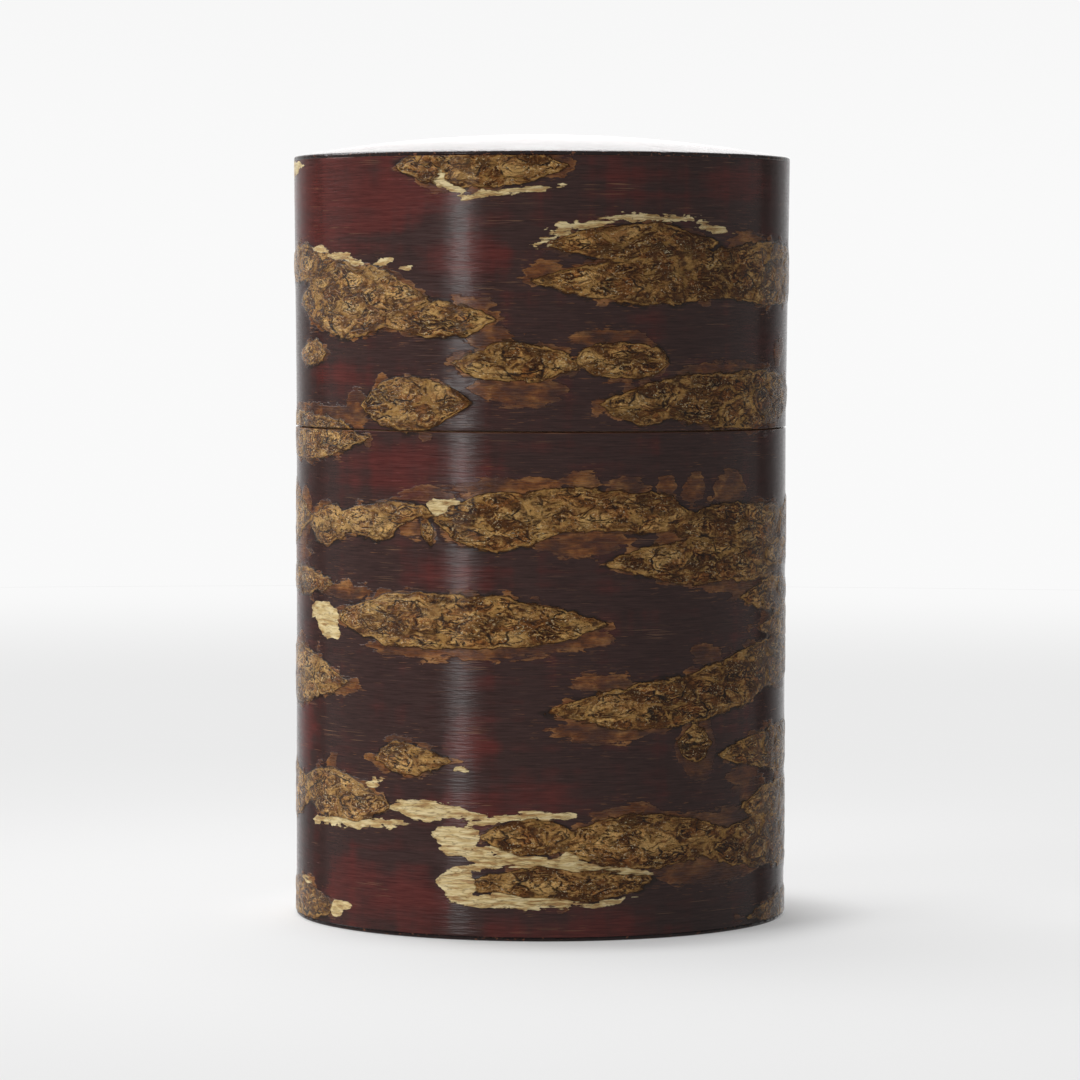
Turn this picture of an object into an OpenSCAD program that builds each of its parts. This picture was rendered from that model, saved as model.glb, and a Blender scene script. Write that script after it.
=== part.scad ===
// Round tea caddy covered in cherry bark.
// A tube of wound veneer is wrapped in bark, cut in two, and closed with a base plate and a domed top plate.
// A sleeve glued into the body stands above the cut. The lid slips down over it, and a stopper closes its mouth.
// Millimetres. The origin is the centre of the base, +Z is up, and the bark's wrap joints face +Y.

/* [Caddy] */
// Outside diameter at the cut between body and lid
caddy_d = 75; // [60:0.5:95]
// Height of the cut above the table
body_h = 74.8; // [62:0.2:110]
// Height of the lid's side wall, from the cut to the crown's edge
lid_h = 41; // [40:0.2:56]
// Rise of the domed crown above its own edge
crown_rise = 3.5; // [2:0.1:5]
// How much wider in radius the lid is at the crown than at the cut
lid_flare = 0.45; // [0:0.05:0.8]

/* [Wall] */
// Thickness of the outer bark wrap
bark_t = 0.8; // [0.6:0.05:1.2]
// Thickness of each of the two wound veneer plies
ply_t = 0.65; // [0.4:0.05:0.9]
// Thickness of the thin bark that lines the tube
lining_t = 0.4; // [0.3:0.05:0.6]
// Width of the glue gap where the ends of a wrapped sheet meet
joint_gap = 0.1; // [0.05:0.01:0.2]
// Slant of the wrap joint away from the radial direction, in degrees
scarf_angle = 55; // [0:5:65]
// Chamfer on the bark's outer edges
edge_chamfer = 0.3; // [0.1:0.05:0.4]

/* [Ends] */
// Thickness of the bark on the crown and under the base
end_bark_t = 0.6; // [0.4:0.1:1]
// Thickness of the wooden base plate
base_plate_t = 4.5; // [3:0.5:7]
// Thickness of the wooden crown plate at its edge
crown_plate_t = 4.6; // [3:0.2:6]
// Thickness of the bark discs inside the body and the lid
disc_t = 0.5; // [0.3:0.1:0.8]

/* [Sleeve] */
// Height of the sleeve above the cut
neck_h = 19; // [14:0.5:22]
// Thickness of the sleeve's veneer core
sleeve_core_t = 0.8; // [0.6:0.1:1.2]
// Radial gap in which the lid slides on the sleeve
slide_gap = 0.08; // [0.04:0.01:0.1]

/* [Stopper] */
// How far the plug reaches down into the sleeve
plug_h = 5; // [3:0.5:6]
// Thickness of the stopper's flange, without its bark
flange_t = 2.2; // [1.6:0.1:3]
// How far the flange stands out beyond the plug's wooden core
flange_w = 0.5; // [0.3:0.1:0.5]
// Radius of the knob's head
knob_r = 7; // [5:0.5:10]
// Height of the knob above the flange
knob_h = 7; // [5:0.25:7.5]

/* [Hidden] */
$fn = 96;
past = 1;          // how far a cutter runs past the face it cuts
glue = 0.05;       // gap that glue fills round a tenon

outer_r = caddy_d / 2;
crown_r = outer_r + lid_flare;
ply_outer_r = outer_r - bark_t;
ply_inner_r = ply_outer_r - ply_t;
lining_outer_r = ply_inner_r - ply_t;
bore_r = lining_outer_r - lining_t;

crown_edge_z = body_h + lid_h;
crown_top_z = crown_edge_z + crown_rise;
dome_r = (crown_r * crown_r + crown_rise * crown_rise) / (2 * crown_rise);
ceiling_z = crown_edge_z - crown_plate_t;
floor_z = end_bark_t + base_plate_t;

sleeve_r = bore_r - slide_gap;
sleeve_core_r = sleeve_r - lining_t;
sleeve_lining_r = sleeve_core_r - sleeve_core_t;
mouth_r = sleeve_lining_r - lining_t;
mouth_z = body_h + neck_h;

plug_band_r = mouth_r - slide_gap;
plug_r = plug_band_r - lining_t;
flange_r = plug_r + lining_t + flange_w;
flange_top_z = mouth_z + flange_t;
knob_z = flange_top_z + lining_t;
tenon_r = 2.5;
knob_stem_r = 3.4;
knob_rim_h = 1.6;
knob_cap_t = 0.5;
knob_dome_rise = 1.2;
knob_dome_r = (knob_r * knob_r + knob_dome_rise * knob_dome_rise) / (2 * knob_dome_rise);

// ---- shapes that repeat ----

// A tube from z0 to z1.
module tube(r_out, r_in, z0, z1) {
    difference() {
        translate([0, 0, z0]) cylinder(r = r_out, h = z1 - z0);
        translate([0, 0, z0 - past]) cylinder(r = r_in, h = z1 - z0 + 2 * past);
    }
}

// A flat disc from z0 to z1.
module disc(r, z0, z1) {
    translate([0, 0, z0]) cylinder(r = r, h = z1 - z0);
}

// The slanted gap between the two ends of a sheet wound round a tube, at the angle joint_at.
module wrap_joint(r_out, r_in, z0, z1, joint_at) {
    reach = (r_out - r_in) / cos(scarf_angle) + past;
    rotate([0, 0, joint_at])
        translate([(r_out + r_in) / 2, 0, (z0 + z1) / 2])
            rotate([0, 0, scarf_angle])
                cube([reach, joint_gap, z1 - z0 + 2 * past], center = true);
}

// A sheet wound once round, with its ends scarfed together at joint_at.
module wound_sheet(r_out, r_in, z0, z1, joint_at) {
    difference() {
        tube(r_out, r_in, z0, z1);
        wrap_joint(r_out, r_in, z0, z1, joint_at);
    }
}

// A ring that takes the sharp corner off an outer edge of radius r at height z.
// side is 1 where the solid lies below the edge and -1 where it lies above.
module outer_chamfer(r, z, side) {
    rotate_extrude()
        polygon([
            [r - edge_chamfer - past, z + side * past],
            [r + past, z + side * past],
            [r + past, z - side * (edge_chamfer + past)]
        ]);
}

// Everything below a dome that runs parallel to the crown's surface, depth below it.
module below_dome(depth) {
    translate([0, 0, crown_top_z - dome_r]) sphere(r = dome_r - depth, $fn = 200);
}

// ---- body ----

module body_bark_wrap() {
    color("#3b1d1c") difference() {
        wound_sheet(outer_r, ply_outer_r, end_bark_t, body_h, 90);
        outer_chamfer(outer_r, body_h, 1);
    }
}

module body_outer_ply() {
    color("#c9a06a") wound_sheet(ply_outer_r, ply_inner_r, end_bark_t, body_h, 200);
}

module body_inner_ply() {
    color("#c2955f") wound_sheet(ply_inner_r, lining_outer_r, end_bark_t, body_h, 320);
}

module body_lining() {
    color("#4a2320") wound_sheet(lining_outer_r, bore_r, end_bark_t, body_h, 60);
}

module base_plate() {
    color("#c9a06a") disc(bore_r, end_bark_t, floor_z);
}

module base_bark() {
    color("#3b1d1c") difference() {
        disc(outer_r, 0, end_bark_t);
        outer_chamfer(outer_r, 0, -1);
    }
}

module floor_bark() {
    color("#4a2320") disc(mouth_r, floor_z, floor_z + disc_t);
}

// ---- sleeve ----

module sleeve_core() {
    color("#c9a06a") wound_sheet(sleeve_core_r, sleeve_lining_r, floor_z, mouth_z, 250);
}

module sleeve_bark() {
    color("#4a2320") difference() {
        wound_sheet(sleeve_r, sleeve_core_r, floor_z, mouth_z, 90);
        outer_chamfer(sleeve_r, mouth_z, 1);
    }
}

module sleeve_lining() {
    color("#4a2320") wound_sheet(sleeve_lining_r, mouth_r, floor_z, mouth_z, 75);
}

// ---- lid ----

module lid_bark_wrap() {
    color("#3b1d1c") intersection() {
        difference() {
            translate([0, 0, body_h]) cylinder(r1 = outer_r, r2 = crown_r, h = lid_h);
            translate([0, 0, body_h - past]) cylinder(r = ply_outer_r, h = lid_h + 2 * past);
            wrap_joint(crown_r, ply_outer_r, body_h, crown_edge_z, 90);
            outer_chamfer(outer_r, body_h, -1);
        }
        below_dome(end_bark_t);
    }
}

module lid_outer_ply() {
    color("#c9a06a") intersection() {
        wound_sheet(ply_outer_r, ply_inner_r, body_h, crown_top_z, 200);
        below_dome(end_bark_t);
    }
}

module lid_inner_ply() {
    color("#c2955f") intersection() {
        wound_sheet(ply_inner_r, lining_outer_r, body_h, crown_top_z, 320);
        below_dome(end_bark_t);
    }
}

module lid_lining() {
    color("#4a2320") intersection() {
        wound_sheet(lining_outer_r, bore_r, body_h, crown_top_z, 60);
        below_dome(end_bark_t);
    }
}

module crown_plate() {
    color("#c9a06a") intersection() {
        disc(bore_r, ceiling_z, crown_top_z);
        below_dome(end_bark_t);
    }
}

module crown_bark() {
    color("#3b1d1c") difference() {
        intersection() {
            disc(crown_r, ceiling_z, crown_top_z + past);
            below_dome(0);
        }
        below_dome(end_bark_t);
        outer_chamfer(crown_r, crown_edge_z, 1);
    }
}

module ceiling_bark() {
    color("#4a2320") disc(bore_r, ceiling_z - disc_t, ceiling_z);
}

// ---- stopper ----

module tenon_hole(z0, z1) {
    translate([0, 0, z0 - past]) cylinder(r = tenon_r + glue, h = z1 - z0 + 2 * past);
}

module stopper_plate() {
    color("#b88a58") difference() {
        union() {
            disc(plug_r, mouth_z - plug_h, mouth_z);
            disc(flange_r, mouth_z, flange_top_z);
        }
        tenon_hole(mouth_z - plug_h, flange_top_z);
    }
}

module stopper_top_bark() {
    color("#4a2320") difference() {
        disc(flange_r, flange_top_z, knob_z);
        tenon_hole(flange_top_z, knob_z);
    }
}

module stopper_rim_band() {
    color("#4a2320") difference() {
        wound_sheet(flange_r + lining_t, flange_r, mouth_z, knob_z, 90);
        outer_chamfer(flange_r + lining_t, knob_z, 1);
    }
}

module stopper_plug_band() {
    color("#4a2320") difference() {
        wound_sheet(plug_band_r, plug_r, mouth_z - plug_h, mouth_z, 90);
        outer_chamfer(plug_band_r, mouth_z - plug_h, -1);
    }
}

module stopper_under_bark() {
    color("#4a2320") disc(plug_r, mouth_z - plug_h - lining_t, mouth_z - plug_h);
}

module knob_head(height) {
    translate([0, 0, knob_z + height - knob_dome_r]) sphere(r = knob_dome_r, $fn = 200);
}

module stopper_knob() {
    flare_h = knob_h - knob_dome_rise - knob_rim_h;
    color("#7a4a32") intersection() {
        union() {
            translate([0, 0, mouth_z - plug_h]) cylinder(r = tenon_r, h = knob_z - mouth_z + plug_h);
            translate([0, 0, knob_z]) cylinder(r = knob_stem_r, h = flare_h);
            translate([0, 0, knob_z + flare_h / 2]) cylinder(r1 = knob_stem_r, r2 = knob_r, h = flare_h / 2);
            translate([0, 0, knob_z + flare_h]) cylinder(r = knob_r, h = knob_h - flare_h);
        }
        knob_head(knob_h - knob_cap_t);
    }
}

module stopper_knob_bark() {
    color("#4a2320") difference() {
        intersection() {
            disc(knob_r, knob_z + knob_h - 2 * knob_dome_rise - knob_cap_t, knob_z + knob_h);
            knob_head(knob_h);
        }
        knob_head(knob_h - knob_cap_t);
    }
}

body_bark_wrap();
body_outer_ply();
body_inner_ply();
body_lining();
base_plate();
base_bark();
floor_bark();
sleeve_core();
sleeve_bark();
sleeve_lining();
lid_bark_wrap();
lid_outer_ply();
lid_inner_ply();
lid_lining();
crown_plate();
crown_bark();
ceiling_bark();
stopper_plate();
stopper_top_bark();
stopper_rim_band();
stopper_plug_band();
stopper_under_bark();
stopper_knob();
stopper_knob_bark();
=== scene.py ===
"""Looks for a tea caddy covered in cherry bark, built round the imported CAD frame.

The bark round the body and the lid is one sheet, cut in two. Its patches are lens shapes laid out on that
sheet: they raise the mesh, and as attributes they colour it. Lengths are metres in the CAD frame, except on
the sheet, where a place is degrees from the front, positive to the right, and millimetres above the table.
"""
import math

import bpy
import numpy as np
from mathutils import Euler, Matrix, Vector


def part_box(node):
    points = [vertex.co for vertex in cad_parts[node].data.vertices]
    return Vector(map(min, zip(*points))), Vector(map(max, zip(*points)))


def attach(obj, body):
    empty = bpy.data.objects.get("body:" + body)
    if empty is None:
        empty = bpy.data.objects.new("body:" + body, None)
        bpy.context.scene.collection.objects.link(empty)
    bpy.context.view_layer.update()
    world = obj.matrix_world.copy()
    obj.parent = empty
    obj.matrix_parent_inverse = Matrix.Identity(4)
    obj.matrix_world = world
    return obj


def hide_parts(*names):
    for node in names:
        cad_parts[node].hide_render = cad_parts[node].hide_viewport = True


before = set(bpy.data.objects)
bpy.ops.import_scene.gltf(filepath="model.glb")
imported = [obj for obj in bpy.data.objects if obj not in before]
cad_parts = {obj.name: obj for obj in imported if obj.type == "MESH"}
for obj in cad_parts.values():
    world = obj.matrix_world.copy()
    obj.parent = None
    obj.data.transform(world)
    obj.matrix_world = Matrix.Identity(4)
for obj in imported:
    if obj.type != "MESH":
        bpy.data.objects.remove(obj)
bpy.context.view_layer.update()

MM = 0.001

# ---- sizes taken from the frame


def ring_of(node):
    """Outer radius, lowest z and highest z of a round CAD node."""
    low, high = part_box(node)
    return high.x, low.z, high.z


OUTER_R, WRAP_FOOT_Z, CUT_Z = ring_of("body_bark_wrap")
PLY_R = ring_of("body_outer_ply")[0]
LINING_R, LINING_FOOT_Z, _ = ring_of("body_lining")
BORE_R, _, FLOOR_Z = ring_of("base_plate")
MOUTH_R, _, FLOOR_BARK_Z = ring_of("floor_bark")
CROWN_R, CROWN_FOOT_Z, CROWN_TOP_Z = ring_of("crown_bark")
_, CEILING_LOW_Z, CEILING_Z = ring_of("ceiling_bark")
SLEEVE_R, _, MOUTH_Z = ring_of("sleeve_bark")
SLEEVE_CORE_R = ring_of("sleeve_core")[0]
SLEEVE_LINING_R = ring_of("sleeve_lining")[0]
PLUG_BAND_R, PLUG_FOOT_Z, _ = ring_of("stopper_plug_band")
PLUG_R, UNDER_LOW_Z, _ = ring_of("stopper_under_bark")
FLANGE_R, FLANGE_TOP_Z, KNOB_Z = ring_of("stopper_top_bark")
RIM_BAND_R = ring_of("stopper_rim_band")[0]
KNOB_R, TENON_FOOT_Z, _ = ring_of("stopper_knob")
KNOB_CAP_LOW_Z, KNOB_TOP_Z = ring_of("stopper_knob_bark")[1:]

END_T = WRAP_FOOT_Z  # thickness of the bark on the crown and under the base
CROWN_EDGE_Z = CROWN_FOOT_Z + END_T
DOME_RISE = CROWN_TOP_Z - CROWN_EDGE_Z
DOME_R = (CROWN_R**2 + DOME_RISE**2) / (2 * DOME_RISE)
SCARF = math.radians(55)  # slant of a wound sheet's joint
JOINT_GAP = 0.1 * MM
EDGE = 0.3 * MM  # rounding of the caddy's two ends
CUT_SOFT = 0.14 * MM  # rounding of the bark beside the cut
CUT_GAP = 0.09 * MM  # how far each half's bark stays from the cut
SOFT = 0.08 * MM  # radius that polishing leaves on any other edge

# ---- smooth repeatable noise, in numpy


class Noise:
    """Smooth noise from -1 to 1 on a plane, with about one bump per unit square."""

    SIZE = 256

    def __init__(self, seed):
        self.table = np.random.default_rng(seed).uniform(-1, 1, (self.SIZE, self.SIZE))

    def once(self, x, y):
        i, j = np.floor(x).astype(int), np.floor(y).astype(int)
        u, v = x - i, y - j
        u, v = u * u * (3 - 2 * u), v * v * (3 - 2 * v)
        i0, i1 = i % self.SIZE, (i + 1) % self.SIZE
        j0, j1 = j % self.SIZE, (j + 1) % self.SIZE
        low = self.table[i0, j0] * (1 - u) + self.table[i1, j0] * u
        high = self.table[i0, j1] * (1 - u) + self.table[i1, j1] * u
        return low * (1 - v) + high * v

    def at(self, x, y, octaves=3):
        total, weight = 0, 0
        for k in range(octaves):
            total = total + self.once(x * 2**k + 17.3 * k, y * 2**k + 5.1 * k) / 2**k
            weight += 1 / 2**k
        return total / weight


def cells(x, y, seed):
    """Jittered cells, one per unit square: distance to the nearest border, and a tone from 0 to 1."""
    size = 128
    rng = np.random.default_rng(seed)
    jitter_x, jitter_y = rng.uniform(0.1, 0.9, (2, size, size))
    tones = rng.random((size, size))
    i, j = np.floor(x).astype(int), np.floor(y).astype(int)
    nearest, second = np.full(x.shape, 9.0), np.full(x.shape, 9.0)
    tone = np.zeros(x.shape)
    for di in (-1, 0, 1):
        for dj in (-1, 0, 1):
            a, b = (i + di) % size, (j + dj) % size
            away = np.hypot(x - i - di - jitter_x[a, b], y - j - dj - jitter_y[a, b])
            closer = away < nearest
            second = np.where(closer, nearest, np.minimum(second, away))
            tone = np.where(closer, tones[a, b], tone)
            nearest = np.minimum(nearest, away)
    return (second - nearest) / 2, tone


def smooth(value, low, high):
    """0 below low, 1 above high, and a smooth step between."""
    t = np.clip((value - low) / (high - low), 0, 1)
    return t * t * (3 - 2 * t)


# ---- where the bark's patches are

# A patch is a lens: left and right end in degrees, low and high edge in millimetres. Some also give how
# many millimetres higher the right end is than the left, and how blunt the ends are, 4 being nearly a box.
# Corky cores, rough and raised.
CORES = [
    # lid
    (-37, 4, 110.6, 116.6, 0, 2.4), (-75, -26, 88.3, 99.6), (-100, -53, 96.5, 102.3),
    (-42, -10, 88.5, 93.8), (-76, -59, 84, 88.2), (-23, 9, 81.7, 88), (7, 31, 82.4, 88, 0, 3),
    (-46, -17, 74.4, 82.8), (1, 43, 99.6, 105.2, 0, 2.6), (-4, 60, 93.4, 100.4), (22, 104, 93.3, 102.8),
    (11, 96, 75.3, 83.8, 0.8), (15, 31, 75.4, 80.2),
    # across the cut
    (-104, -44, 70, 77.4),
    # upper body
    (-70, -48, 57.4, 63.4), (-56, -32, 58.6, 64, -0.6), (-47, -24, 61.3, 64.4, -1.2),
    (-29, -25, 58.4, 61.6), (-25, 5, 57.2, 66.2, 0, 2.4), (-9, 37, 60, 66.4, -1, 4),
    (30, 84, 56.2, 64, -1, 3), (14, 88, 52.4, 59.6, 1, 3), (66, 110, 54.4, 64.6), (-108, -68, 56.5, 66),
    (-100, -57, 49.6, 54.3, 0, 3),
    # middle of the body
    (-57, 15, 42.7, 50.8, -0.6, 2.6), (-110, -51, 33, 42), (50, 92, 47.4, 52.8), (59, 106, 42.6, 48),
    (34, 100, 35.6, 43.6, 2.5), (-1, 62, 31.2, 38.4, 2.4), (31.5, 41, 26.2, 31.2), (42, 112, 23, 30.4),
    # lower body
    (-43, -22.5, 24, 28.8), (-76, -36, 16, 23.8, -1.4), (-106, -66, 15, 24), (-15, 8, 12.4, 18, 0, 2.6),
    (0, 50, 10.4, 18.6), (32, 118, 8.2, 17.8), (50, 100, 15, 22), (-20, 27, 5.8, 11.2, 0.4, 2.4),
    (-104, -54, -1, 6.4), (54, 112, -1, 4.8),
]
# Thin films of half-peeled bark, orange and see-through.
FILMS = [
    # lid
    (-22, -9, 92.3, 94.6), (-26, -8, 90.3, 92.6), (-19, -7, 86.8, 90.2), (-71, -58, 92.3, 98.2),
    (-24, -9, 83, 87), (5, 25, 87, 90), (-51, -43, 74.6, 80.8), (-18, 5, 77.8, 84), (-6, 6, 96.4, 100.4),
    (31, 67, 81.2, 85.2), (9, 14, 77, 79.2), (66, 76, 84, 89), (-90, -40, 74.8, 78.4),
    (46, 62, 101, 104.2),
    # upper body
    (-34, -27, 58.8, 61.8), (-35, -20, 64.2, 66.6), (-23, 5, 65, 68.6), (4, 13, 65.5, 68.8),
    (14, 25, 65.5, 68.4), (26, 32, 65, 68.8), (33, 40, 64, 68.8), (42, 54, 63.4, 69.4),
    (-2, 21, 56.6, 60.4), (-64, -42, 49.4, 52.4), (34, 66, 50.8, 54), (-100, -66, 54, 58),
    (-79, -68, 56.9, 66.2),
    # middle of the body
    (-48, 8, 41, 45), (-4, 16, 42.6, 46.8), (34, 46, 40.2, 43.4), (0, 28, 29, 32.8), (4, 22, 36.4, 39),
    (31, 42.5, 22.6, 33.4), (46, 60, 21.6, 25), (-62, -47, 35, 38),
    # lower body
    (10, 30, 17.6, 19.8), (24, 60, 7.2, 10.8), (-60, -54, 22, 26), (48, 66, 19, 23),
    (-40, -28, 28, 29.8), (4, 80, 9.8, 18.9, 0, 4),
]
# Bare cream-coloured inner bark, flat and sharp-edged.
CREAMS = [
    # lid
    (-33, -17.5, 110.6, 112.6, -3.6, 3), (-21, 4, 109, 110.8, 1.6, 3), (-27, -22.5, 110.5, 115.5),
    (-67, -57, 100.4, 102.2, -0.8), (-59, -44, 99.3, 100.9, -0.7, 3), (-42.5, -35.5, 98.6, 100.2, 0, 3),
    (-35, -29.5, 98.3, 99.3, 0, 3), (-1, 15, 104.2, 105.7, 1.4, 3), (10, 38, 105.3, 106.9, 0, 3),
    (33, 49, 104, 105.4, -2.6, 3), (-5, 4, 101.8, 102.7, 0.5, 3), (-3, 7, 103.1, 104.0, 0.8, 3),
    (-76, -60, 75, 77), (-100, -71, 112.6, 115.4),
    # upper and middle body
    (-28, -18.5, 61.6, 65, -1), (-23, -16, 63.6, 65.4), (-70, -54, 45.2, 49.2, -0.6, 3),
    (-65, -54.5, 43, 47, -1, 3),
    # lower body
    (-24, -17, 24.1, 25.5), (-71, -33, 15.2, 17.4, 1.2, 3), (-38, -18, 17, 21, -0.4),
    (-46.5, -38, 21.9, 23.5, 0.6), (-22, -14, 18, 19.8, -1), (-27, -14, 12.8, 17.4, -0.6),
    (-20, -8, 16.6, 18.4, 1), (-24, 0, 11.4, 13.8, -1.4, 3), (-10, 9, 17.6, 19.3, 0, 3),
    (-8, 15, 10, 12.4, -1, 3), (6, 27, 8.9, 11, -0.8), (2, 10, 9, 13.4), (-25, -14, 5.8, 11.2, -0.6),
    (-22, 9, 4.6, 7, -0.2, 3), (6, 23, 5.3, 6.7, 0.9), (-20, -9, 10.4, 11.6, 0.6), (-80, -66, 5.2, 6.8),
    (-58, -50, 1.2, 4.2, 1.4),
]
# Where the smooth bark between them is redder.
REDS = [
    (-95, -18, 100, 118), (6, 34, 108, 116), (34, 64, 108, 116), (-64, -42, 79, 85), (-58, -10, 65, 74),
    (-36, -10, 51.5, 56.5), (-22, -8, 36, 41), (-84, -62, 24, 36), (-30, 14, 17, 24), (-62, -34, -2, 12),
    (-42, -20, -2, 12), (-14, 28, -3, 5), (-30, -6, 95, 106), (-24, -10, 25, 33),
]
SIDE_FROM, SIDE_TO = 96, 186  # degrees: random patches fill the bark away from the front
SHEET_TOP = 118


def scattered(seed):
    """Random patches for the quarters of the sheet beside its joint: rows of cores that touch."""
    rng = np.random.default_rng(seed)
    cores, films, creams, reds = [], [], [], []
    for side in (-1, 1):
        z = 3.0
        while z < SHEET_TOP:
            start = SIDE_FROM + rng.uniform(0, 36)
            while start < SIDE_TO:
                row = z + rng.uniform(-2.5, 2.5)
                for _ in range(rng.integers(1, 4)):
                    length, height = rng.uniform(17, 46), rng.uniform(3.6, 8.4)
                    low = row + rng.uniform(-2.6, 2.6)
                    a, b = sorted((side * start, side * (start + length)))
                    cores.append((a, b, low, low + height, rng.uniform(-2, 2), rng.uniform(1.8, 3)))
                    for _ in range(3):
                        at, tall = a + rng.uniform(0, length), rng.uniform(0.8, 2.8)
                        films.append((at - 5, at + 7, low + height - 1.2, low + height + tall))
                    start += length * rng.uniform(0.45, 0.8)
                if rng.random() < 0.5:
                    at, wide = a + rng.uniform(-3, 8), rng.uniform(7, 24)
                    along = low + rng.choice((0.2, 0.9)) * height
                    creams.append((at, at + wide, along - 0.9, along + 0.9, rng.uniform(-2, 2), 3))
                reds.append((b - 10, b + 40, row - 3, row + rng.uniform(6, 12)))
                start += length * 0.4 + rng.uniform(10, 40)
            z += rng.uniform(9.5, 13.5)
    return cores, films, creams, reds


# ---- the patches' fields on the sheet

SHEET_MM = OUTER_R / MM  # radius that turns an angle into millimetres along the sheet
FAR = -9.0  # depth given to what is far outside every lens
MERGE = 0.9  # how softly neighbouring lenses run together, in millimetres
CORE_RISE = 0.17  # how far a corky core stands proud, in millimetres
CREVICE = 0.1  # how deep the grooves between its cells are
FILM_RISE = 0.05
WAVE = 0.03  # slow unevenness left in the smooth bark by the iron


def lens_depths(s, z, lenses, fullness):
    """Depth in millimetres inside the lenses, negative outside, and depth beside the border between two."""
    joined, best, second = (np.full(s.shape, FAR) for _ in range(3))
    for left, right, low, high, *more in lenses:
        lean = more[0] if more else 0
        full = more[1] if len(more) > 1 else fullness
        middle = math.radians(left + right) / 2 * SHEET_MM
        half = math.radians(right - left) / 2 * SHEET_MM
        along = np.clip((s - middle) / half, -3, 3)
        centre = (low + high) / 2 + lean / 2 * np.clip(along, -1, 1)
        depth = (high - low) / 2 * (1 - np.abs(along) ** full) - np.abs(z - centre)
        second = np.maximum(second, np.minimum(best, depth))
        best = np.maximum(best, depth)
        share = np.clip(0.5 + (joined - depth) / MERGE / 2, 0, 1)
        joined = depth + (joined - depth) * share + MERGE * share * (1 - share)
    return joined, (best - second) / 2


def bark_fields(s, z):
    """What the sheet holds at s, z in millimetres, and the height of its surface there.

    core, film and cream are depths inside those patches, edge is the distance from the border of a core's
    cell, tone is a random shade for each cell, lowered on the right as painted shade, and red is how red
    the smooth bark is.
    """
    cores, films, creams, reds = scattered(seed=23)
    wide, narrow, lumps = Noise(3), Noise(8), Noise(14)
    s_bent = s + 1.5 * wide.at(s / 7, z / 4) + 0.4 * narrow.at(s / 1.6, z / 1.1, 2)
    z_bent = z + 0.75 * wide.at(s / 6 + 40, z / 3.6 + 9) + 0.28 * narrow.at(s / 1.5 + 30, z + 60, 2)
    core, between = lens_depths(s_bent, z_bent, CORES + cores, 2.0)
    film, _ = lens_depths(s_bent, z_bent, FILMS + films, 2.4)
    cream, _ = lens_depths(s_bent, z_bent, CREAMS + creams, 2.0)
    red, _ = lens_depths(s_bent, z_bent, REDS + reds, 2)
    film = np.maximum(film, core + 0.1 + 1.9 * narrow.at(s / 2.6 + 80, z / 2.2 + 20, 2))
    cell_edge, tone = cells(s_bent / 7, z_bent / 3.4, 31)
    cell_edge = cell_edge * 4.2 + 0.1 + 0.9 * np.clip(lumps.at(s / 3.1 + 50, z / 2.3, 2) + 0.15, 0, 1)
    edge = np.minimum(np.minimum(core, between + 0.1), cell_edge)
    turn = s / SHEET_MM
    # Painted shade: tone is lowered on the right side of the sheet, which darkens the cores and films
    # there.
    tone = tone - 0.85 * smooth(turn, 0.25, 0.75) * smooth(turn, 2.3, 1.7)
    inside = smooth(core, -0.1, 0.7)
    height = (
        CORE_RISE * inside * (0.75 + 0.5 * lumps.at(s / 2.4, z / 1.6, 3))
        - CREVICE * inside * np.exp(-((edge / 0.32) ** 2))
        + FILM_RISE * smooth(film, -0.1, 0.4) * (1 - inside)
        + WAVE * wide.at(s / 24 + 5, z / 17 + 3, 2)
    )
    red = smooth(red, -2.5, 5)
    return {"core": core, "film": film, "cream": cream, "edge": edge, "tone": tone, "red": red}, height


# ---- meshes

BAND_COLUMNS, DISC_COLUMNS, KNOB_COLUMNS, STAGE_COLUMNS = 288, 240, 192, 128


def make_object(name, points, faces):
    mesh = bpy.data.meshes.new(name)
    mesh.from_pydata(points, [], faces)
    mesh.update()
    mesh.shade_smooth()
    obj = bpy.data.objects.new(name, mesh)
    bpy.context.scene.collection.objects.link(obj)
    return obj


def store(obj, name, values, kind="FLOAT"):
    """Writes one value, or one vector, per vertex as an attribute that the materials read."""
    attribute = obj.data.attributes.new(name, kind, "POINT")
    field = "value" if kind == "FLOAT" else "vector"
    attribute.data.foreach_set(field, np.asarray(values, np.float32).ravel())


def bend(start, corner, end, steps=3):
    """Points of a small curve from start to end, pulled towards corner."""
    start, corner, end = np.array(start), np.array(corner), np.array(end)
    shares = np.linspace(0, 1, steps + 1)
    return [tuple(start * (1 - t) ** 2 + corner * 2 * t * (1 - t) + end * t * t) for t in shares]


def rounded(outline, radii, closed=True):
    """The outline with its corners softened, and a point beside each curve that keeps the flats flat."""
    made = []
    for k, (corner, radius) in enumerate(zip(outline, radii)):
        corner = np.array(corner, float)
        at_end = not closed and k in (0, len(outline) - 1)
        if radius == 0 or at_end:
            made.append(tuple(corner))
            continue
        sides = [np.array(outline[(k + d) % len(outline)], float) - corner for d in (-1, 1)]
        back, on = (side / np.linalg.norm(side) for side in sides)
        made.append(tuple(corner + back * radius * 1.8))
        made += bend(corner + back * radius, corner, corner + on * radius)
        made.append(tuple(corner + on * radius * 1.8))
    return made


def evenly(a, b, count):
    """count + 1 points along a straight line from a to b."""
    return [tuple(p) for p in np.linspace(a, b, count + 1)]


def wound_grid(outline, columns, joint):
    """Angle, radius and z of every point of a sheet wound once round, whose ends meet at joint degrees."""
    outline = np.array(outline)
    middle = (outline[:, 0].min() + outline[:, 0].max()) / 2
    gap = JOINT_GAP / math.cos(SCARF) / middle
    start, turn = math.radians(joint - 360) + gap / 2, 2 * math.pi - gap
    angle = start + turn * np.arange(columns + 1)[:, None] / columns
    angle = angle + np.zeros(len(outline))
    r = outline[:, 0] + 0 * angle
    z = outline[:, 1] + 0 * angle
    return angle, r, z


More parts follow.
